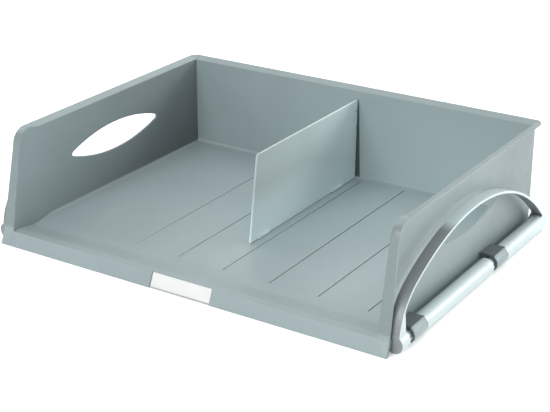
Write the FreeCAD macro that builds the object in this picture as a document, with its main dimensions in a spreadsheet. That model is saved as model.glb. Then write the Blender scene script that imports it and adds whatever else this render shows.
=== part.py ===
import FreeCAD, Part
import math
import os
import Sketcher

# Wide desk letter tray: one moulded tray, a plug-in divider, a label card under a clear
# cover, and an arched stacking frame snapped onto two lugs along each side.
# Millimetres. X runs across the front, Y from the front lip (-) to the back (+), Z up.
# The origin is the centre of the footprint at desk level. Inside a body, y counts from
# the foot of the front lip, and the body's Placement moves it back by half the depth.

doc = FreeCAD.newDocument("letter_tray")
dims = doc.addObject("Spreadsheet::Sheet", "dims")

DRIVING = {
    # tray
    "depth": 369, "height": 128, "wall_gauge": 2.6, "inner_half": 231, "back_inner": 359.5,
    "floor_top": 14, "floor_gauge": 3, "floor_round": 3, "lip_half": 245, "lip_gauge": 3.1,
    "face_top_y": 6.5, "face_top_z": 15.5, "crest_y": 15, "crest_z": 16.4,
    "gutter_y": 38, "gutter_z": 12.4, "floor_start": 52,
    "rim_half": 240.5, "rim_gauge": 2.6, "rim_fall": 3.5, "rim_rear_r": 9, "rim_ramp": 16,
    "rim_setback": 29.5, "rim_corner": 18, "flange_foot": 3, "flare_top_z": 108,
    # grooves in the floor and ribs below it
    "groove_first": -97, "groove_pitch": 58.5, "groove_count": 6, "groove_wide": 1.2,
    "groove_deep": 0.8, "groove_front": 54, "groove_back": 350,
    "rib_gauge": 1.8, "rib_drop": 6, "rib_pitch": 92, "rib_count": 5,
    # hand holes
    "hole_y": 193, "hole_z": 73.5, "hole_long": 172, "hole_tall": 34, "hole_tip_r": 3,
    # side lugs
    "axle_x": 246.5, "axle_z": 10.2, "axle_r": 5.5, "axle_play": 0.08,
    "lug_plate": 252, "lug_top": 20.4, "lug_front": 37, "lug_long": 27,
    "lug_step": 191, "lug_mouth": 7.6, "lug_relief_r": 7.7, "lug_relief_deep": 6,
    # stacking frame
    "rail_r": 9.5, "rail_back": 366, "frame_front": 12, "frame_back": 367.8,
    "strap_in": 239.5, "strap_out": 251.7,
    "strap_gauge": 2.6, "arch_top": 98.5, "crown_y": 174, "crown_r": 263,
    "front_r": 61, "rear_r": 28, "notch_lead": 9, "notch_tail": 0.6,
    "gusset_high": 44, "gusset_long": 15, "heel_long": 26, "heel_in": 237.7, "core_half": 4.2,
    # divider
    "blade_x": 6, "blade_gauge": 2.4, "blade_front": 124, "blade_lean": 15, "blade_top": 114,
    "blade_rear_low": 354.5, "blade_rear_top": 357.8, "blade_seat": 0.4,
    "foot_front": 140, "foot_step": 162, "foot_long": 20, "foot_drop": 5.5, "slot_play": 0.5,
    "catch_out": 1.3, "catch_high": 3.6, "notch_deep": 1.8, "notch_tall": 4,
    "blade_corner_r": 5, "blade_round": 0.8,
    # label
    "label_x": 1, "label_wide": 75, "card_gauge": 0.4, "cover_gauge": 0.8, "label_post": 1.1,
    "recess_deep": 1.8, "recess_foot": 1, "card_play": 0.3,
}
DERIVED = {
    "outer_half": "=inner_half + wall_gauge",
    "back_outer": "=back_inner + wall_gauge",
    "face_length": "=sqrt(face_top_y ^ 2 + face_top_z ^ 2)",
    "face_dy": "=face_top_y / face_length",
    "face_dz": "=face_top_z / face_length",
    "edge_slope": "=(rim_setback - flange_foot) / height",
    "edge_norm": "=sqrt(1 + edge_slope ^ 2)",
    "corner_y": "=rim_setback + rim_corner * (edge_norm - edge_slope)",
    "corner_z": "=height - rim_corner",
    "crown_z": "=arch_top - crown_r",
    "front_cy": "=frame_front + front_r",
    "front_cz": "=crown_z + sqrt((crown_r - front_r) ^ 2 - (crown_y - front_cy) ^ 2)",
    "rear_cy": "=frame_back - rear_r",
    "rear_cz": "=crown_z + sqrt((crown_r - rear_r) ^ 2 - (rear_cy - crown_y) ^ 2)",
    "front_dy": "=(front_cy - crown_y) / (crown_r - front_r)",
    "front_dz": "=(front_cz - crown_z) / (crown_r - front_r)",
    "rear_dy": "=(rear_cy - crown_y) / (crown_r - rear_r)",
    "rear_dz": "=(rear_cz - crown_z) / (crown_r - rear_r)",
    "hole_arc": "=(hole_long ^ 2 + hole_tall ^ 2) / (4 * hole_tall)",
}
for row, (alias, value) in enumerate([*DRIVING.items(), *DERIVED.items()], start=1):
    dims.set(f"A{row}", alias)
    dims.set(f"B{row}", str(value))
    dims.setAlias(f"B{row}", alias)
doc.recompute()


def expr(text):
    """The expression with every sheet alias written as dims.alias."""
    out, word = "", ""
    for ch in text + " ":
        if ch.isalnum() or ch == "_":
            word += ch
            continue
        out += f"dims.{word}" if word in DRIVING or word in DERIVED else word
        out += ch
        word = ""
    return out.strip()


def number(text):
    """The present value of an expression in sheet aliases."""
    return float(dims.evalExpression(expr(str(text))))


def bind(obj, prop, text):
    """Ties a property to an expression in sheet aliases."""
    obj.setExpression(prop, expr(str(text)))


def make_body(label):
    """An empty body that sits half the tray's depth towards the front."""
    body = doc.addObject("PartDesign::Body", label)
    body.Label = label
    bind(body, "Placement.Base.y", "-depth / 2")
    return body


def new_sketch(body, name, plane, offset=0):
    """A sketch on one of the body's origin planes, moved along the plane's normal."""
    sketch = body.newObject("Sketcher::SketchObject", name)
    support = [f for f in body.Origin.OriginFeatures if f.Role == plane][0]
    sketch.AttachmentSupport = (support, [""])
    sketch.MapMode = "FlatFace"
    bind(sketch, "AttachmentOffset.Base.z", offset)
    return sketch


def pin_point(sketch, tag, geo, pos, at):
    """Fixes a sketch point's two coordinates to expressions."""
    for kind, text, letter in (("DistanceX", at[0], "h"), ("DistanceY", at[1], "v")):
        index = sketch.addConstraint(
            Sketcher.Constraint(kind, -1, 1, geo, pos, number(text))
        )
        sketch.renameConstraint(index, f"{letter}{tag}")
        bind(sketch, f"Constraints.{letter}{tag}", text)


def outline(sketch, corners, tag="p"):
    """Adds a closed outline. A corner is (x, y), or (x, y, centre_x, centre_y) where an
    arc about that centre runs to the next corner."""
    values = [tuple(number(text) for text in corner) for corner in corners]
    starts, ends = [], []
    for i, here in enumerate(values):
        there = values[(i + 1) % len(values)]
        p, q = FreeCAD.Vector(*here[:2], 0), FreeCAD.Vector(*there[:2], 0)
        if len(here) == 2:
            geo = sketch.addGeometry(Part.LineSegment(p, q))
            starts.append((geo, 1))
            ends.append((geo, 2))
            continue
        centre = FreeCAD.Vector(*here[2:], 0)
        circle = Part.Circle(centre, FreeCAD.Vector(0, 0, 1), (p - centre).Length)
        a, b = [math.atan2(*((w - centre).y, (w - centre).x)) for w in (p, q)]
        turn = (b - a) % (2 * math.pi)
        if turn < math.pi:
            geo = sketch.addGeometry(Part.ArcOfCircle(circle, a, a + turn))
            starts.append((geo, 1))
            ends.append((geo, 2))
        else:
            geo = sketch.addGeometry(Part.ArcOfCircle(circle, b, b + 2 * math.pi - turn))
            starts.append((geo, 2))
            ends.append((geo, 1))
        x, y, cx, cy = corners[i]
        radius = f"sqrt(({x} - ({cx})) ^ 2 + ({y} - ({cy})) ^ 2)"
        index = sketch.addConstraint(Sketcher.Constraint("Radius", geo, circle.Radius))
        sketch.renameConstraint(index, f"r{tag}{i}")
        bind(sketch, f"Constraints.r{tag}{i}", radius)
    for i, (geo, pos) in enumerate(starts):
        before = ends[i - 1]
        sketch.addConstraint(Sketcher.Constraint("Coincident", before[0], before[1], geo, pos))
        pin_point(sketch, f"{tag}{i}", geo, pos, corners[i])


def circle_in(sketch, tag, centre, radius):
    """Adds a circle with a bound centre and radius."""
    at = FreeCAD.Vector(number(centre[0]), number(centre[1]), 0)
    geo = sketch.addGeometry(Part.Circle(at, FreeCAD.Vector(0, 0, 1), number(radius)))
    pin_point(sketch, tag, geo, 3, centre)
    index = sketch.addConstraint(Sketcher.Constraint("Radius", geo, number(radius)))
    sketch.renameConstraint(index, f"r{tag}")
    bind(sketch, f"Constraints.r{tag}", radius)


def grow(body, sketch, length, kind="PartDesign::Pad", both=False, flip=False):
    """Pads or pockets a sketch by a bound length, centred on the sketch if both."""
    feature = body.newObject(kind, sketch.Name + ("_pad" if kind.endswith("Pad") else "_cut"))
    feature.Profile = sketch
    bind(feature, "Length", length)
    feature.SideType = "Symmetric" if both else "One side"
    feature.Reversed = flip
    body.Tip = feature
    return feature


def cut(body, sketch, length, both=False, flip=False):
    """Pockets a sketch, and stops if nothing was removed."""
    doc.recompute()
    before = body.Shape.Volume
    feature = grow(body, sketch, length, "PartDesign::Pocket", both, flip)
    doc.recompute()
    if not body.Shape.Volume < before - 0.1:
        raise RuntimeError(f"{feature.Name} removed nothing")
    return feature


def rectangle(u0, v0, u1, v1):
    """The four corners of a rectangle square to the sketch's axes."""
    return [(u0, v0), (u1, v0), (u1, v1), (u0, v1)]


def rear_rounded(half, front, back, radius):
    """A plan outline from front to back, with only its two rear corners rounded."""
    turn_x, turn_y = f"({half}) - ({radius})", f"({back}) - ({radius})"
    return [
        (f"-({half})", front),
        (half, front),
        (half, turn_y, turn_x, turn_y),
        (turn_x, back),
        (f"-({turn_x})", back, f"-({turn_x})", turn_y),
        (f"-({half})", turn_y),
    ]


def loft(body, name, sketches, kind):
    """Adds or removes the straight-sided solid between two sketches."""
    feature = body.newObject(f"PartDesign::{kind}", name)
    feature.Profile = sketches[0]
    feature.Sections = [(sketches[1], [""])]
    feature.Ruled = True
    body.Tip = feature
    doc.recompute()
    return feature


def mirror_x(body, features, name):
    """Repeats features on the other side of the body's YZ plane."""
    feature = body.newObject("PartDesign::Mirrored", name)
    feature.Originals = features
    plane = [f for f in body.Origin.OriginFeatures if f.Role == "YZ_Plane"][0]
    feature.MirrorPlane = (plane, [""])
    body.Tip = feature
    return feature


def repeat_x(body, features, name, pitch, count):
    """Repeats features in a row along X."""
    feature = body.newObject("PartDesign::LinearPattern", name)
    feature.Originals = features
    axis = [f for f in body.Origin.OriginFeatures if f.Role == "X_Axis"][0]
    feature.Direction = (axis, [""])
    feature.Mode = "Spacing"
    bind(feature, "Offset", pitch)
    feature.Occurrences = int(number(count))
    body.Tip = feature
    return feature


def fillet(body, name, radius, chosen):
    """Rounds the edges of the body's last feature that pass a test."""
    doc.recompute()
    base = body.Tip
    picked = [f"Edge{i}" for i, e in enumerate(base.Shape.Edges, start=1) if chosen(e)]
    feature = body.newObject("PartDesign::Fillet", name)
    feature.Base = (base, picked)
    bind(feature, "Radius", radius)
    body.Tip = feature
    doc.recompute()
    return feature


def runs_along(edge, axis):
    """True for a straight edge parallel to X, Y or Z (0, 1 or 2)."""
    if len(edge.Vertexes) != 2:
        return False
    d = edge.Vertexes[1].Point - edge.Vertexes[0].Point
    return abs(abs(d[axis]) - edge.Length) < 1e-3


def near(value, target):
    """True if two lengths agree to a hundredth."""
    return abs(value - target) < 0.01


# ---------------------------------------------------------------- tray body
tray = make_body("tray_body")

# Three walls: a block with a leaning front, hollowed straight through from the front.
walls = new_sketch(tray, "walls", "YZ_Plane")


def corner_start(radius):
    """Where a rounded front corner of the rim leaves the leaning front edge."""
    return (
        f"corner_y - ({radius}) / edge_norm",
        f"corner_z + ({radius}) * edge_slope / edge_norm",
    )


outline(walls, [
    ("flange_foot", "0"),
    (*corner_start("rim_corner"), "corner_y", "corner_z"),
    ("corner_y", "height"),
    ("back_outer", "height"),
    ("back_outer", "0"),
])
grow(tray, walls, "2 * outer_half", both=True)

# The rim grows out of the walls, and its top falls towards the inside.
rim_low = new_sketch(tray, "rim_low", "XY_Plane", "height - rim_gauge - rim_fall")
outline(rim_low, rear_rounded(
    "outer_half", "corner_y + rim_ramp", "back_outer", "rim_rear_r - rim_half + outer_half"
))
rim_high = new_sketch(tray, "rim_high", "XY_Plane", "height - rim_gauge")
outline(rim_high, rear_rounded("rim_half", "corner_y", "depth", "rim_rear_r"))
loft(tray, "rim_flare", (rim_low, rim_high), "AdditiveLoft")
rim_edge = new_sketch(tray, "rim_edge", "XY_Plane", "height - rim_gauge")
outline(rim_edge, rear_rounded("rim_half", "corner_y", "depth", "rim_rear_r"))
grow(tray, rim_edge, "rim_gauge")
hollow = new_sketch(tray, "hollow", "YZ_Plane")
outline(hollow, rectangle("-10", "-10", "back_inner", "height + 10"))
cut(tray, hollow, "2 * inner_half", both=True)

# Floor, gutter, crest and sloping face are one sheet of even thickness.
lip_under = [
    ("floor_start", "floor_top - floor_gauge"),
    ("gutter_y", "gutter_z - floor_gauge"),
    ("crest_y", "crest_z - lip_gauge"),
    ("face_top_y + lip_gauge", "face_top_z - lip_gauge + 0.4"),
    ("lip_gauge + 0.3", "0"),
]
floor_sheet = new_sketch(tray, "floor_sheet", "YZ_Plane")
outline(floor_sheet, [
    ("0", "0"),
    ("face_top_y", "face_top_z"),
    ("crest_y", "crest_z"),
    ("gutter_y", "gutter_z"),
    ("floor_start", "floor_top"),
    ("back_outer - 0.5", "floor_top"),
    ("back_outer - 0.5", "floor_top - floor_gauge"),
    *lip_under,
])
grow(tray, floor_sheet, "2 * outer_half - 1", both=True)
lip_ends = new_sketch(tray, "lip_ends", "YZ_Plane")
outline(lip_ends, [
    ("0", "0"),
    ("face_top_y", "face_top_z"),
    ("crest_y - 4", "crest_z - 0.42"),
    ("crest_y - 4", "crest_z - 3.4"),
    *lip_under[3:],
])
grow(tray, lip_ends, "2 * lip_half", both=True)

# Front flange: the rim turns down each wall's leaning front edge round a wide corner.
band = new_sketch(tray, "band", "YZ_Plane", "inner_half")
outline(band, [
    ("flange_foot + edge_slope * 12", "12"),
    (*corner_start("rim_corner"), "corner_y", "corner_z"),
    ("corner_y", "height"),
    ("corner_y + 2", "height"),
    ("corner_y + 2", "height - rim_gauge"),
    ("corner_y", "height - rim_gauge", "corner_y", "corner_z"),
    corner_start("rim_corner - rim_gauge"),
    ("flange_foot + edge_slope * 12 + rim_gauge * edge_norm", "12"),
])
band_pad = grow(tray, band, "lip_half - inner_half")
flare = new_sketch(tray, "flare", "XZ_Plane")
outline(flare, [
    ("rim_half", "height + 5"),
    ("rim_half", "flare_top_z"),
    ("lip_half", "0"),
    ("lip_half + 9", "0"),
    ("lip_half + 9", "height + 5"),
])
flare_cut = cut(tray, flare, "depth + 5")
mirror_x(tray, [band_pad, flare_cut], "left_rim")
dish_low = new_sketch(tray, "dish_low", "XY_Plane", "height - rim_fall")
outline(dish_low, rear_rounded("inner_half", "corner_y + rim_ramp", "back_inner", "1"))
dish_high = new_sketch(tray, "dish_high", "XY_Plane", "height + rim_fall")
outline(dish_high, rear_rounded(
    "2 * rim_half - inner_half", "corner_y - rim_ramp", "2 * depth - back_inner", "20"
))
loft(tray, "rim_dish", (dish_low, dish_high), "SubtractiveLoft")

# Hinge lugs on both sides: flat-topped hooks with a snap-in bore, relieved in front. Their
# outer side carries the rail's round outline on.
SIDES = (("right", "1"), ("left", "-1"))


def both_sides(sketch, corners):
    """Adds an outline at the right and its mirror image at the left."""
    for tag, sign in SIDES:
        outline(sketch, [
            tuple(f"({sign}) * ({t})" if i % 2 == 0 else t for i, t in enumerate(corner))
            for corner in corners
        ], tag)


def on_rail(x, side):
    """The point of the rail's round outline at an x, above (+) or below (-) the axle."""
    return (x, f"axle_z {side} sqrt(rail_r ^ 2 - ({x} - axle_x) ^ 2)")


lug = new_sketch(tray, "lug", "XZ_Plane", "-lug_front")
both_sides(lug, [
    ("inner_half + 1", "lug_top"),
    ("lug_plate", "lug_top"),
    (*on_rail("lug_plate", "+"), "axle_x", "axle_z"),
    on_rail("(axle_x + 5.6)", "-"),
    on_rail("(axle_x - 5.6)", "-"),
    ("inner_half + 1", "axle_z - 5"),
])
lug_steps = [grow(tray, lug, "lug_long", flip=True)]
for name, radius, deep in (
    ("lug_bore", "axle_r + axle_play", "lug_long"),
    ("lug_relief", "lug_relief_r", "lug_relief_deep"),
):
    hollow = new_sketch(tray, name, "XZ_Plane", "-lug_front")
    for tag, sign in SIDES:
        circle_in(hollow, tag, (f"({sign}) * axle_x", "axle_z"), radius)
    lug_steps.append(cut(tray, hollow, deep))
mouth = new_sketch(tray, "lug_mouth", "XZ_Plane", "-lug_front")
both_sides(mouth, rectangle(
    "axle_x - lug_mouth / 2", "axle_z - rail_r", "axle_x + lug_mouth / 2", "axle_z"
))
lug_steps.append(cut(tray, mouth, "lug_long"))
lug_row = tray.newObject("PartDesign::LinearPattern", "lug_row")
lug_row.Originals = lug_steps
lug_row.Direction = ([f for f in tray.Origin.OriginFeatures if f.Role == "Y_Axis"][0], [""])
bind(lug_row, "Length", "lug_step")
lug_row.Occurrences = 2
tray.Tip = lug_row

# Hand holes: the same lens-shaped opening through both side walls.
hole = new_sketch(tray, "hand_hole", "YZ_Plane")
outline(hole, [
    ("hole_y - hole_long / 2", "hole_z", "hole_y", "hole_z + hole_tall / 2 - hole_arc"),
    ("hole_y + hole_long / 2", "hole_z", "hole_y", "hole_z - hole_tall / 2 + hole_arc"),
])
cut(tray, hole, "2 * outer_half + 4", both=True)

# Grooves along the floor, and two slots that take the divider's feet.
groove = new_sketch(tray, "groove", "XY_Plane", "floor_top")
outline(groove, rectangle(
    "groove_first - groove_wide / 2", "groove_front",
    "groove_first + groove_wide / 2", "groove_back",
))
groove_cut = cut(tray, groove, "groove_deep")
repeat_x(tray, [groove_cut], "groove_row", "groove_pitch", "groove_count")
slots = new_sketch(tray, "divider_slots", "XY_Plane", "floor_top")
for tag, start in (("a", "foot_front"), ("b", "foot_front + foot_step")):
    outline(slots, rectangle(
        "blade_x - slot_play", f"{start} - slot_play",
        "blade_x + blade_gauge + slot_play", f"{start} + foot_long + slot_play",
    ), tag)
cut(tray, slots, "floor_gauge + 1")


def on_face(along, inward):
    """A point measured up the sloping face from its foot, and inwards from its surface."""
    return (
        f"({along}) * face_dy + ({inward}) * face_dz",
        f"({along}) * face_dz - ({inward}) * face_dy",
    )


def face_strip(low, high, shallow, deep):
    """The four corners of a strip that lies along the sloping face."""
    return [
        on_face(low, shallow),
        on_face(low, deep),
        on_face(high, deep),
        on_face(high, shallow),
    ]


# Label recess: open at the crest, so that the card slides in from above.
recess = new_sketch(tray, "label_recess", "YZ_Plane", "label_x")
outline(recess, face_strip("recess_foot", "face_length + 4", "-1", "recess_deep"))
cut(tray, recess, "label_wide + 2 * label_post", both=True)

# Stiffening ribs under the floor.
rib = new_sketch(tray, "rib", "XZ_Plane", "-gutter_y - 2")
outline(rib, rectangle(
    "-rib_pitch * (rib_count - 1) / 2 - rib_gauge / 2", "floor_top - floor_gauge - rib_drop",
    "-rib_pitch * (rib_count - 1) / 2 + rib_gauge / 2", "floor_top - floor_gauge + 1",
))
rib_pad = grow(tray, rib, "back_inner - gutter_y - 1", flip=True)
repeat_x(tray, [rib_pad], "rib_row", "rib_pitch", "rib_count")

# Rounding: the hand holes' ends and the floor's edges.
fillet(tray, "hole_ends", "hole_tip_r", lambda e: runs_along(e, 0)
       and near(e.Vertexes[0].Z, number("hole_z"))
       and near(abs(e.Vertexes[0].Y - number("hole_y")), number("hole_long / 2")))
fillet(tray, "floor_edges", "floor_round", lambda e: near(e.BoundBox.ZMin, number("floor_top"))
       and near(e.BoundBox.ZMax, number("floor_top"))
       and ((runs_along(e, 0) and near(e.Vertexes[0].Y, number("back_inner")))
            or (runs_along(e, 1) and near(abs(e.Vertexes[0].X), number("inner_half")))))

# ---------------------------------------------------------------- divider
divider = make_body("divider")
blade = new_sketch(divider, "blade", "YZ_Plane", "blade_x")
outline(blade, [
    ("blade_front", "floor_top + blade_seat"),
    ("blade_front + blade_lean", "blade_top"),
    ("blade_rear_top", "blade_top"),
    ("blade_rear_low", "floor_top + blade_seat"),
])
grow(divider, blade, "blade_gauge")
feet = new_sketch(divider, "feet", "YZ_Plane", "blade_x")
for tag, start in (("a", "foot_front"), ("b", "foot_front + foot_step")):
    outline(feet, [
        (start, "floor_top + 2"),
        (start, "floor_top - foot_drop + 2"),
        (f"{start} + 2", "floor_top - foot_drop"),
        (f"{start} + foot_long - 2", "floor_top - foot_drop"),
        (f"{start} + foot_long", "floor_top - foot_drop + 2"),
        (f"{start} + foot_long", "floor_top + 2"),
    ], tag)
grow(divider, feet, "blade_gauge")
catches = new_sketch(divider, "catches", "YZ_Plane", "blade_x + blade_gauge - 0.2")
for tag, start in (("a", "foot_front"), ("b", "foot_front + foot_step")):
    outline(catches, rectangle(
        f"{start} - 2", "floor_top + blade_seat",
        f"{start} + foot_long + 2", "floor_top + blade_seat + catch_high",
    ), tag)
grow(divider, catches, "catch_out + 0.2")
notches = new_sketch(divider, "rear_notches", "YZ_Plane", "blade_x")
for tag, level in (("a", "blade_top - 12"), ("b", "blade_top - 33")):
    outline(notches, rectangle(
        "blade_rear_low - notch_deep + 1.5", f"{level} - notch_tall", "blade_rear_top + 3", level
    ), tag)
cut(divider, notches, "blade_gauge + 1", flip=True)
fillet(divider, "blade_corner", "blade_corner_r", lambda e: runs_along(e, 0)
       and near(e.Vertexes[0].Z, number("blade_top"))
       and e.Vertexes[0].Y < number("blade_front + blade_lean + 1"))
fillet(divider, "blade_top_round", "blade_round", lambda e: runs_along(e, 1)
       and near(e.BoundBox.ZMin, number("blade_top"))
       and near(e.BoundBox.ZMax, number("blade_top")))

# ---------------------------------------------------------------- label card and cover
card = make_body("label_card")
card_side = new_sketch(card, "card_side", "YZ_Plane", "label_x")
outline(card_side, face_strip(
    "recess_foot + 0.8", "face_length + 0.5",
    "cover_gauge + card_play", "cover_gauge + card_play + card_gauge",
))
grow(card, card_side, "label_wide", both=True)
cover = make_body("label_cover")
pane = new_sketch(cover, "pane", "YZ_Plane", "label_x")
outline(pane, face_strip("recess_foot", "face_length - 0.3", "0.05", "cover_gauge"))
grow(cover, pane, "label_wide + 2 * label_post - 0.2", both=True)
sill = new_sketch(cover, "sill", "YZ_Plane", "label_x")
outline(sill, face_strip("recess_foot", "recess_foot + 0.5", "0.2", "recess_deep"))
grow(cover, sill, "label_wide + 2 * label_post - 0.2", both=True)
for side, sign in SIDES:
    at = f"label_x + ({sign}) * (label_wide / 2 + (label_post + card_play) / 2)"
    post = new_sketch(cover, f"post_{side}", "YZ_Plane", at)
    outline(post, face_strip("recess_foot", "face_length - 0.3", "0.2", "recess_deep"))
    grow(cover, post, "label_post - card_play - 0.2", both=True)

# ---------------------------------------------------------------- stacking frames
frame = make_body("stacking_frame_right")
rail = new_sketch(frame, "rail", "XZ_Plane", "-frame_front")
circle_in(rail, "bar", ("axle_x", "axle_z"), "rail_r")
grow(frame, rail, "rail_back - frame_front", flip=True)
arch = new_sketch(frame, "arch", "YZ_Plane", "strap_in")


def on_arch(leg, shrink):
    """Where a leg's arc meets the crown's arc, on the outline shrunk by an amount."""
    return (
        f"crown_y + (crown_r - {shrink}) * {leg}_dy",
        f"crown_z + (crown_r - {shrink}) * {leg}_dz",
    )


def on_leg(leg, level, shrink):
    """The point of a leg's arc at a level, on the outline shrunk by an amount."""
    sign = "-" if leg == "front" else "+"
    reach = f"sqrt(({leg}_r - {shrink}) ^ 2 - ({level} - {leg}_cz) ^ 2)"
    return (f"{leg}_cy {sign} {reach}", level)


outline(arch, [
    (*on_leg("front", "axle_z", "0"), "front_cy", "front_cz"),
    (*on_arch("front", "0"), "crown_y", "crown_z"),
    (*on_arch("rear", "0"), "rear_cy", "rear_cz"),
    on_leg("rear", "axle_z", "0"),
    (*on_leg("rear", "axle_z", "strap_gauge"), "rear_cy", "rear_cz"),
    (*on_arch("rear", "strap_gauge"), "crown_y", "crown_z"),
    (*on_arch("front", "strap_gauge"), "front_cy", "front_cz"),
    on_leg("front", "axle_z", "strap_gauge"),
])
grow(frame, arch, "strap_out - strap_in")
gusset = new_sketch(frame, "gusset", "YZ_Plane", "strap_in")
outline(gusset, [
    (*on_leg("front", "axle_z", "1"), "front_cy", "front_cz"),
    on_leg("front", "gusset_high", "1"),
    ("frame_front + gusset_long", "axle_z"),
])
grow(frame, gusset, "strap_out - strap_in")
heel = new_sketch(frame, "heel", "YZ_Plane", "heel_in")
outline(heel, [
    (*on_arch("rear", "1"), "rear_cy", "rear_cz"),
    on_leg("rear", "axle_z", "1"),
    ("frame_back - heel_long", "axle_z"),
])
grow(frame, heel, "strap_out - heel_in")
for tag, start in (("front", "lug_front"), ("rear", "lug_front + lug_step")):
    ring = new_sketch(frame, f"journal_{tag}", "XZ_Plane", f"-({start}) + notch_lead")
    circle_in(ring, "outer", ("axle_x", "axle_z"), "rail_r + 12")
    circle_in(ring, "inner", ("axle_x", "axle_z"), "axle_r")
    cut(frame, ring, "notch_lead + lug_long + notch_tail")
core = new_sketch(frame, "rail_core", "XY_Plane", "axle_z + 3")
for tag, start, end in (
    ("mid", "lug_front + lug_long + 6", "lug_front + lug_step - notch_lead - 5"),
    ("rear", "lug_front + lug_step + lug_long + 6", "frame_back - 6"),
):
    outline(core, rectangle("axle_x - core_half", start, "axle_x + core_half", end), tag)
cut(frame, core, "rail_r + 4")

left = doc.addObject("Part::Mirroring", "stacking_frame_left")
left.Label = "stacking_frame_left"
left.Source = frame
left.Normal = (1, 0, 0)
doc.recompute()

# ---------------------------------------------------------------- checks and export
os.makedirs("parts", exist_ok=True)
for obj in doc.Objects:
    if {"Invalid", "Error"} & set(obj.State):
        raise RuntimeError(f"{obj.Label} did not compute: {obj.State}")
for node in (tray, divider, card, cover, frame, left):
    shape = node.Shape
    if shape.isNull() or not shape.isValid() or len(shape.Solids) != 1:
        raise RuntimeError(f"{node.Label} is not one sound solid")
    shape.exportStep(f"parts/{node.Label}.step")
    box = shape.optimalBoundingBox(False)
    print(
        f"{node.Label}: {shape.Volume / 1000:.1f} cm3, "
        f"x {box.XMin:.1f}..{box.XMax:.1f}, y {box.YMin:.1f}..{box.YMax:.1f}, "
        f"z {box.ZMin:.1f}..{box.ZMax:.1f}"
    )
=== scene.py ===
import math

import bpy
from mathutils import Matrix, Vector

# A blue-grey moulded letter tray on a pale studio floor. The CAD nodes keep their shape and
# get procedural plastics, and the tray and the divider get rounded edges. The studio and the
# camera are made here. Lengths are in metres.

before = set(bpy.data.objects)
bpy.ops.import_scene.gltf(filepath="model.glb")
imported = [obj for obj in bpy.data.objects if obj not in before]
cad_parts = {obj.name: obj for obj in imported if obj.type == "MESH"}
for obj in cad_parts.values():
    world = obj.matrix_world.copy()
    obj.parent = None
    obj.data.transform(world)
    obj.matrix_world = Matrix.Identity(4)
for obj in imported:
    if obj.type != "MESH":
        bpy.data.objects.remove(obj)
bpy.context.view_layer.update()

# ---------------------------------------------------------------- sizes and colours
EDGE_RADIUS = 0.0007
WELD_GAP = 0.00001
LUG_START, LUG_FRONT, LUG_TOP = 0.2345, -0.150, 0.0208
FLOOR_TOP, GROOVE_FRONT = 0.014, -0.1305
LIP_TOP = 0.017
RIM_LOW = 0.119
BACK_WALL = 0.1745
LEFT_WALL = 0.2300
RIGHT_WALL_OUTER = 0.2322
LABEL_MIDDLE, LABEL_HALF = 0.001, 0.0380
GAP_MIDDLE, GAP_TOP = 0.0085, 0.115

TRAY_GREY = (0.27, 0.335, 0.345)
# The divider's and the frames' greys are the tray's grey made paler: painted light on those parts.
DIVIDER_GREY = (0.485, 0.575, 0.58)
FRAME_GREY = (0.59, 0.685, 0.695)
CARD_WHITE = (0.68, 0.69, 0.69)
FLOOR_WHITE = (0.93, 0.93, 0.93)
# Painted shade on the lugs' tops and fronts.
LUG_PAINTED_SHADE = (0.06, 0.07, 0.072)
DEEP_SHADE = (0.085, 0.085, 0.085)
FRAME_SHADE = (0.10, 0.095, 0.095)


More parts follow.
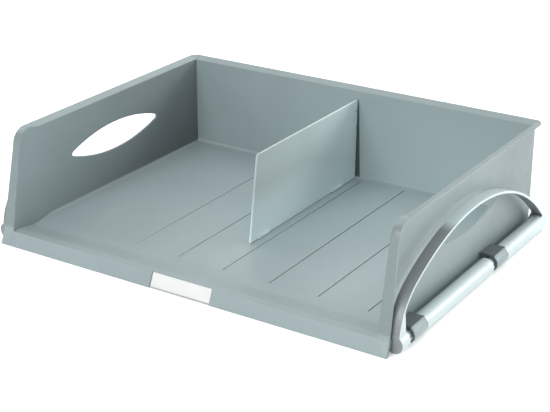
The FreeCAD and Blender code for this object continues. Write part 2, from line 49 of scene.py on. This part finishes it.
# ---------------------------------------------------------------- node helpers
class Graph:
    """A material's node tree, with short calls for adding and linking nodes."""

    def __init__(self, name):
        self.material = bpy.data.materials.new(name)
        self.material.use_nodes = True
        self.tree = self.material.node_tree
        self.shader = self.tree.nodes["Principled BSDF"]
        self.where = self.add("ShaderNodeTexCoord").outputs["Object"]

    def add(self, kind, **inputs):
        """Adds a node. Inputs are given as numbers, colours or sockets to link from."""
        node = self.tree.nodes.new(kind)
        self.feed(node, **inputs)
        return node

    def feed(self, node, **inputs):
        """Sets or links a node's inputs by name, with _ for a space."""
        for name, value in inputs.items():
            socket = node.inputs[name.replace("_", " ")]
            if isinstance(value, bpy.types.NodeSocket):
                self.tree.links.new(value, socket)
            elif isinstance(value, tuple) and len(value) == 3 and socket.type == "RGBA":
                socket.default_value = (*value, 1)
            else:
                socket.default_value = value

    def noise(self, scale, detail=2.0, rough=0.5, stretch=(1, 1, 1)):
        """Noise over object space, at so many cells a metre, from 0 to 1."""
        place = self.add("ShaderNodeMapping", Vector=self.where, Scale=stretch)
        node = self.add("ShaderNodeTexNoise", Vector=place.outputs["Vector"],
                        Scale=scale, Detail=detail, Roughness=rough)
        return node.outputs["Fac"]

    def math(self, operation, a, b=0.0):
        """A two-value maths node."""
        node = self.tree.nodes.new("ShaderNodeMath")
        node.operation = operation
        for socket, value in zip(node.inputs, (a, b)):
            if isinstance(value, bpy.types.NodeSocket):
                self.tree.links.new(value, socket)
            else:
                socket.default_value = value
        return node.outputs["Value"]

    def between(self, value, low, high, to_low=0.0, to_high=1.0):
        """A value carried from one range to another, clamped."""
        node = self.add("ShaderNodeMapRange", Value=value)
        for name, number in (("From Min", low), ("From Max", high),
                             ("To Min", to_low), ("To Max", to_high)):
            node.inputs[name].default_value = number
        return node.outputs["Result"]

    def mix(self, amount, a, b, blend="MIX"):
        """A colour mix."""
        node = self.tree.nodes.new("ShaderNodeMix")
        node.data_type = "RGBA"
        node.blend_type = blend
        for socket, value in ((node.inputs[0], amount), (node.inputs[6], a), (node.inputs[7], b)):
            if isinstance(value, bpy.types.NodeSocket):
                self.tree.links.new(value, socket)
            elif isinstance(value, tuple):
                socket.default_value = (*value, 1)
            else:
                socket.default_value = value
        return node.outputs[2]

    def paint(self, tone, colour, strength, *masks):
        """A tone carried towards a colour where every mask holds."""
        mask = masks[0]
        for other in masks[1:]:
            mask = self.math("MULTIPLY", mask, other)
        return self.mix(self.math("MULTIPLY", mask, strength), tone, colour)

    def facing(self):
        """The way the surface looks, as X, Y and Z."""
        normal = self.add("ShaderNodeNewGeometry").outputs["Normal"]
        return self.add("ShaderNodeSeparateXYZ", Vector=normal).outputs

    def placed(self):
        """The place in object space, as X, Y and Z."""
        return self.add("ShaderNodeSeparateXYZ", Vector=self.where).outputs


def shade(colour, by):
    """A colour made lighter or darker."""
    return tuple(min(1.0, c * by) for c in colour)


def paint_lugs(g, tone, colour, at, facing):
    """The lugs: painted light over the whole lug, and painted shade on their tops and fronts."""
    on_lug = g.math(
        "MULTIPLY",
        g.math("MULTIPLY",
               g.between(g.math("ABSOLUTE", at["X"]), LUG_START, LUG_START + 0.001),
               g.between(at["Z"], LUG_TOP + 0.001, LUG_TOP)),
        g.between(at["Y"], LUG_FRONT - 0.001, LUG_FRONT))
    tone = g.paint(tone, shade(colour, 1.4), 0.4, on_lug)
    on_top = g.between(at["Z"], LUG_TOP - 0.0016, LUG_TOP - 0.0010)
    on_front = g.between(facing["Y"], -0.5, -0.7)
    return g.paint(tone, LUG_PAINTED_SHADE, 0.8, on_lug, g.math("MAXIMUM", on_top, on_front))


def paint_shell(g, tone, colour, at, facing):
    """Painted shade on the front flanges and rims, and painted light on the floor and back wall,
    paler to the right.
    """
    tone = g.paint(tone, shade(colour, 0.45), 0.5,
                   g.between(facing["Y"], -0.55, -0.7),
                   g.between(at["Z"], LIP_TOP, LIP_TOP + 0.005),
                   g.between(at["Y"], -0.12, -0.13))
    tone = g.paint(tone, shade(colour, 0.6), 0.25,
                   g.between(facing["Z"], 0.6, 0.8),
                   g.between(at["Z"], RIM_LOW, RIM_LOW + 0.003))
    tone = g.paint(tone, shade(colour, 1.27), 1.0,
                   g.between(facing["Z"], 0.9, 0.97),
                   g.between(at["Z"], FLOOR_TOP + 0.0015, FLOOR_TOP + 0.0005),
                   g.between(at["Y"], -0.14, 0.04),
                   g.between(at["X"], -0.10, 0.12, 0.35, 1.0))
    return g.paint(tone, shade(colour, 1.45), 1.0,
                   g.between(facing["Y"], -0.90, -0.94),
                   g.between(at["Y"], BACK_WALL - 0.001, BACK_WALL),
                   g.between(at["X"], -0.15, 0.15),
                   g.between(at["Z"], 0.12, 0.01, 0.3, 1.0))


def paint_grooves(g, tone, colour, at, facing):
    """Painted light on the grooves' bottoms, against their shade, so they fade out to the front and
    the left.
    """
    return g.paint(tone, shade(colour, 2.7), 1.0,
                   g.between(at["Z"], FLOOR_TOP - 0.0001, FLOOR_TOP - 0.0004),
                   g.between(at["Z"], FLOOR_TOP - 0.0010, FLOOR_TOP - 0.0009),
                   g.between(at["Y"], GROOVE_FRONT - 0.001, GROOVE_FRONT),
                   g.between(at["X"], 0.06, -0.08),
                   g.between(at["Y"], 0.12, -0.13, 0.3, 1.0))


def paint_right_wall(g, tone, colour, at, facing):
    """Painted shade on the outer face of the right wall, darker to the rear."""
    return g.paint(tone, shade(colour, 0.6), 0.5,
                   g.between(at["X"], RIGHT_WALL_OUTER, RIGHT_WALL_OUTER + 0.0005),
                   g.between(facing["X"], 0.9, 0.95),
                   g.between(at["Y"], 0.02, 0.12))


def paint_label_foot(g, tone, colour, at, facing):
    """The lip's narrow strip under the label, which looks as pale as the card."""
    aside = g.math("ABSOLUTE", g.math("SUBTRACT", at["X"], LABEL_MIDDLE))
    return g.paint(tone, CARD_WHITE, 0.8,
                   g.between(aside, LABEL_HALF, LABEL_HALF - 0.0005),
                   g.between(at["Y"], -0.181, -0.182),
                   g.between(at["Z"], 0.0022, 0.0016))


def paint_gap(g, tone, colour, at, facing):
    """A painted shadow on the back wall behind the divider, which narrows to the top."""
    half = g.between(at["Z"], FLOOR_TOP, FLOOR_TOP + 0.100, 0.0048, 0.0012)
    aside = g.math("ABSOLUTE", g.math("SUBTRACT", at["X"], GAP_MIDDLE))
    return g.paint(tone, shade(colour, 0.12), 0.9,
                   g.between(g.math("SUBTRACT", half, aside), 0.0, 0.001),
                   g.between(at["Y"], BACK_WALL - 0.001, BACK_WALL),
                   g.between(at["Y"], BACK_WALL + 0.0016, BACK_WALL + 0.0010),
                   g.between(at["Z"], GAP_TOP, GAP_TOP - 0.010))


def paint_left_wall(g, tone, colour, at, facing):
    """Painted shade on the left wall's inner face, darker to the rear and the floor."""
    return g.paint(tone, DEEP_SHADE, 0.75,
                   g.between(at["X"], -LEFT_WALL, -LEFT_WALL - 0.0005),
                   g.between(at["X"], -LEFT_WALL - 0.002, -LEFT_WALL - 0.0015),
                   g.between(at["Y"], -0.14, 0.12, 0.2, 1.0),
                   g.between(at["Z"], 0.125, 0.02, 0.55, 1.0))


def tray_shades(g, tone, colour):
    """The tray's painted shade and painted light, place by place, and its pale strip under the
    label.
    """
    at, facing = g.placed(), g.facing()
    for paint in (paint_lugs, paint_shell, paint_grooves, paint_right_wall, paint_label_foot,
                  paint_gap, paint_left_wall):
        tone = paint(g, tone, colour, at, facing)
    return tone


def divider_shades(g, tone, colour):
    """Painted shade on the divider's front and painted light on its foot and rear."""
    at = g.placed()
    tone = g.mix(g.between(at["Y"], 0.03, -0.07, 0.0, 0.7), tone, shade(colour, 0.72))
    low = g.between(at["Z"], 0.075, 0.015)
    rear = g.between(at["Y"], 0.05, 0.16, 0.0, 0.5)
    return g.mix(g.math("MAXIMUM", low, rear), tone, shade(colour, 1.6))


def frame_shades(g, tone, colour):
    """Painted shade on the frame: every face that looks towards the front."""
    return g.paint(tone, FRAME_SHADE, 0.72, g.between(g.facing()["Y"], -0.17, -0.23))


def plastic(name, colour, rough, texture, scuff_along, scuffed=1.0, sheen=0.0, shades=None,
            soft_edges=True):
    """Moulded plastic: spark-eroded grain, flow mottling, painted shade in corners, worn edges."""
    g = Graph(name)
    mottle = g.noise(9, 3, 0.55)
    cloud = g.noise(42, 4, 0.6)
    grain = g.noise(2600, 2, 0.6)
    pits = g.noise(900, 3, 0.65)
    scuffs = g.noise(60, 5, 0.75, scuff_along)

    tone = g.mix(g.between(mottle, 0.35, 0.65), shade(colour, 0.955), shade(colour, 1.03))
    tone = g.mix(g.between(cloud, 0.3, 0.7, 0, 0.35), tone, shade(colour, 1.06))
    speck = g.between(grain, 0.3, 0.7, 0.0, 0.10)
    tone = g.mix(speck, tone, shade(colour, 0.72))
    scratch = g.between(scuffs, 0.63, 0.74, 0.0, scuffed)
    tone = g.mix(g.math("MULTIPLY", scratch, 0.16), tone, shade(colour, 1.35))
    if shades:
        tone = shades(g, tone, colour)

    # Painted shade: the colour is darkened in corners and crevices, where shade falls.
    hollow = g.tree.nodes.new("ShaderNodeAmbientOcclusion")
    hollow.samples = 6
    hollow.inputs["Distance"].default_value = 0.003
    open_to_air = g.between(hollow.outputs["AO"], 0.2, 0.8, 0.65, 1.0)
    corner_shaded = g.mix(1.0, tone, g.add("ShaderNodeCombineColor", Red=open_to_air, Green=open_to_air,
                                   Blue=open_to_air).outputs["Color"], "MULTIPLY")

    rounded = g.tree.nodes.new("ShaderNodeBevel")
    rounded.samples = 4
    rounded.inputs["Radius"].default_value = 0.0009
    flat = g.add("ShaderNodeNewGeometry").outputs["Normal"]
    spread = g.tree.nodes.new("ShaderNodeVectorMath")
    spread.operation = "DOT_PRODUCT"
    g.tree.links.new(rounded.outputs["Normal"], spread.inputs[0])
    g.tree.links.new(flat, spread.inputs[1])
    on_edge = g.between(spread.outputs["Value"], 0.975, 0.88)
    patchy = g.between(g.noise(130, 4, 0.7), 0.38, 0.62, 0.35, 1.0)
    worn = g.math("MULTIPLY", on_edge, patchy)
    exposed = g.math("MULTIPLY", worn, g.between(hollow.outputs["AO"], 0.6, 0.9, 0, scuffed))
    final = g.mix(g.math("MULTIPLY", exposed, 0.5), corner_shaded, shade(colour, 1.75))

    gloss = g.between(g.noise(75, 4, 0.6), 0.3, 0.7, rough - 0.05, rough + 0.06)
    gloss = g.math("ADD", gloss, g.math("MULTIPLY", scratch, 0.12))
    gloss = g.math("SUBTRACT", gloss, g.math("MULTIPLY", exposed, 0.08))

    relief = g.math("ADD", g.math("MULTIPLY", grain, 0.5), g.math("MULTIPLY", pits, 0.5))
    relief = g.math("SUBTRACT", relief, g.math("MULTIPLY", scratch, 0.25))
    skin = g.add("ShaderNodeBump", Height=relief, Strength=texture, Distance=0.0002)
    if soft_edges:
        g.feed(skin, Normal=rounded.outputs["Normal"])
    wave = g.add("ShaderNodeBump", Height=g.noise(14, 2, 0.4), Strength=0.10, Distance=0.004,
                 Normal=skin.outputs["Normal"])
    g.feed(g.shader, Base_Color=final, Roughness=gloss, Normal=wave.outputs["Normal"])
    g.shader.inputs["IOR"].default_value = 1.5
    g.shader.inputs["Metallic"].default_value = sheen
    return g.material


def paper():
    """Plain white card with a faint fibre."""
    g = Graph("card_paper")
    fibre = g.noise(1800, 4, 0.7, (1, 0.4, 0.4))
    cloud = g.noise(60, 3, 0.5)
    tone = g.mix(g.between(fibre, 0.35, 0.65), shade(CARD_WHITE, 0.96), shade(CARD_WHITE, 1.03))
    tone = g.mix(g.between(cloud, 0.3, 0.7, 0, 0.3), tone, shade(CARD_WHITE, 0.95))
    skin = g.add("ShaderNodeBump", Height=fibre, Strength=0.25, Distance=0.0001)
    g.feed(g.shader, Base_Color=tone, Normal=skin.outputs["Normal"],
           Roughness=g.between(fibre, 0.3, 0.7, 0.7, 0.85))
    return g.material


def window():
    """Clear moulded cover: thin, glossy, with faint handling marks."""
    g = Graph("clear_cover")
    marks = g.noise(70, 4, 0.7)
    skin = g.add("ShaderNodeBump", Height=marks, Strength=0.05, Distance=0.0005)
    g.feed(g.shader, Roughness=g.between(marks, 0.35, 0.7, 0.06, 0.16),
           Normal=skin.outputs["Normal"],
           Base_Color=g.mix(g.between(marks, 0.3, 0.7), (0.93, 0.95, 0.95), (0.98, 0.99, 0.99)))
    g.shader.inputs["IOR"].default_value = 1.49
    g.shader.inputs["Alpha"].default_value = 0.14
    return g.material


# ---------------------------------------------------------------- the object
FINISHES = {
    "tray_body": plastic("tray_plastic", TRAY_GREY, 0.42, 0.28, (1, 0.06, 1), shades=tray_shades),
    "divider": plastic("divider_plastic", DIVIDER_GREY, 0.40, 0.25, (1, 0.1, 1),
                       scuffed=0.15, shades=divider_shades),
    "label_card": paper(),
    "label_cover": window(),
    "stacking_frame_right": plastic(
        "frame_plastic", FRAME_GREY, 0.42, 0.10, (1, 0.06, 1), scuffed=0.15, sheen=0.3,
        shades=frame_shades, soft_edges=False
    ),
}
FINISHES["stacking_frame_left"] = FINISHES["stacking_frame_right"]

for name, material in FINISHES.items():
    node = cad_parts[name]
    for holder in node.material_slots:
        holder.material = material
    if not name.startswith(("tray", "divider")):
        continue
    weld = node.modifiers.new("weld", "WELD")
    weld.merge_threshold = WELD_GAP
    round_off = node.modifiers.new("edges", "BEVEL")
    round_off.width = EDGE_RADIUS
    round_off.segments = 2
    round_off.limit_method = "ANGLE"
    round_off.angle_limit = math.radians(40)
    round_off.use_clamp_overlap = True
    round_off.harden_normals = False

# ---------------------------------------------------------------- studio
scene = bpy.context.scene
scene.view_settings.view_transform = "Standard"
scene.view_settings.look = "None"

world = bpy.data.worlds.new("studio")
world.use_nodes = True
world.node_tree.nodes["Background"].inputs["Color"].default_value = (1, 1, 1, 1)
world.node_tree.nodes["Background"].inputs["Strength"].default_value = 0.33
scene.world = world


def studio_floor():
    """A large pale floor just under the object."""
    mesh = bpy.data.meshes.new("studio_floor")
    half = 12.0
    mesh.from_pydata(
        [(-half, -half, 0), (half, -half, 0), (half, half, 0), (-half, half, 0)], [], [(0, 1, 2, 3)]
    )
    floor = bpy.data.objects.new("studio_floor", mesh)
    scene.collection.objects.link(floor)
    g = Graph("floor_paper")
    cloud = g.noise(3, 3, 0.5)
    g.feed(g.shader, Roughness=0.85,
           Base_Color=g.mix(g.between(cloud, 0.3, 0.7), shade(FLOOR_WHITE, 0.995), FLOOR_WHITE))
    g.feed(g.shader, Emission_Color=FLOOR_WHITE, Emission_Strength=0.3)
    mesh.materials.append(g.material)


def softbox(name, at, aim, size, power):
    """A square area light aimed at a point."""
    lamp = bpy.data.lights.new(name, "AREA")
    lamp.shape = "RECTANGLE"
    lamp.size, lamp.size_y = size
    lamp.energy = power
    holder = bpy.data.objects.new(name, lamp)
    holder.location = at
    holder.rotation_euler = (Vector(aim) - Vector(at)).to_track_quat("-Z", "Y").to_euler()
    scene.collection.objects.link(holder)


studio_floor()
softbox("overhead", (0.0, 0.5, 1.9), (0, 0, 0), (2.4, 2.0), 19)
softbox("front", (0.0, -2.1, 1.15), (0, 0, 0.05), (1.2, 0.8), 34)
softbox("back", (-0.3, 2.2, 1.1), (0, 0, 0.05), (3.0, 1.0), 19)
softbox("back_right", (1.7, 1.5, 0.8), (0, 0, 0.05), (1.0, 0.8), 20)
softbox("right", (1.5, 0.15, 0.35), (0.2, 0, 0.05), (0.5, 0.5), 2.5)
softbox("left", (-1.5, 0.3, 1.3), (0, 0, 0.05), (1.0, 1.2), 9)

# ---------------------------------------------------------------- camera
FOCAL_PIXELS = 1397.98
IMAGE_WIDTH = 550
YAW, PITCH = 0.57010, 0.40177

camera = bpy.data.cameras.new("camera")
camera.sensor_fit = "HORIZONTAL"
camera.sensor_width = 36.0
camera.lens = 36.0 * FOCAL_PIXELS / IMAGE_WIDTH
viewer = bpy.data.objects.new("camera", camera)
viewer.location = (0.78396, -1.22046, 0.65201)
viewer.rotation_euler = (math.pi / 2 - PITCH, 0, YAW)
scene.collection.objects.link(viewer)
scene.camera = viewer
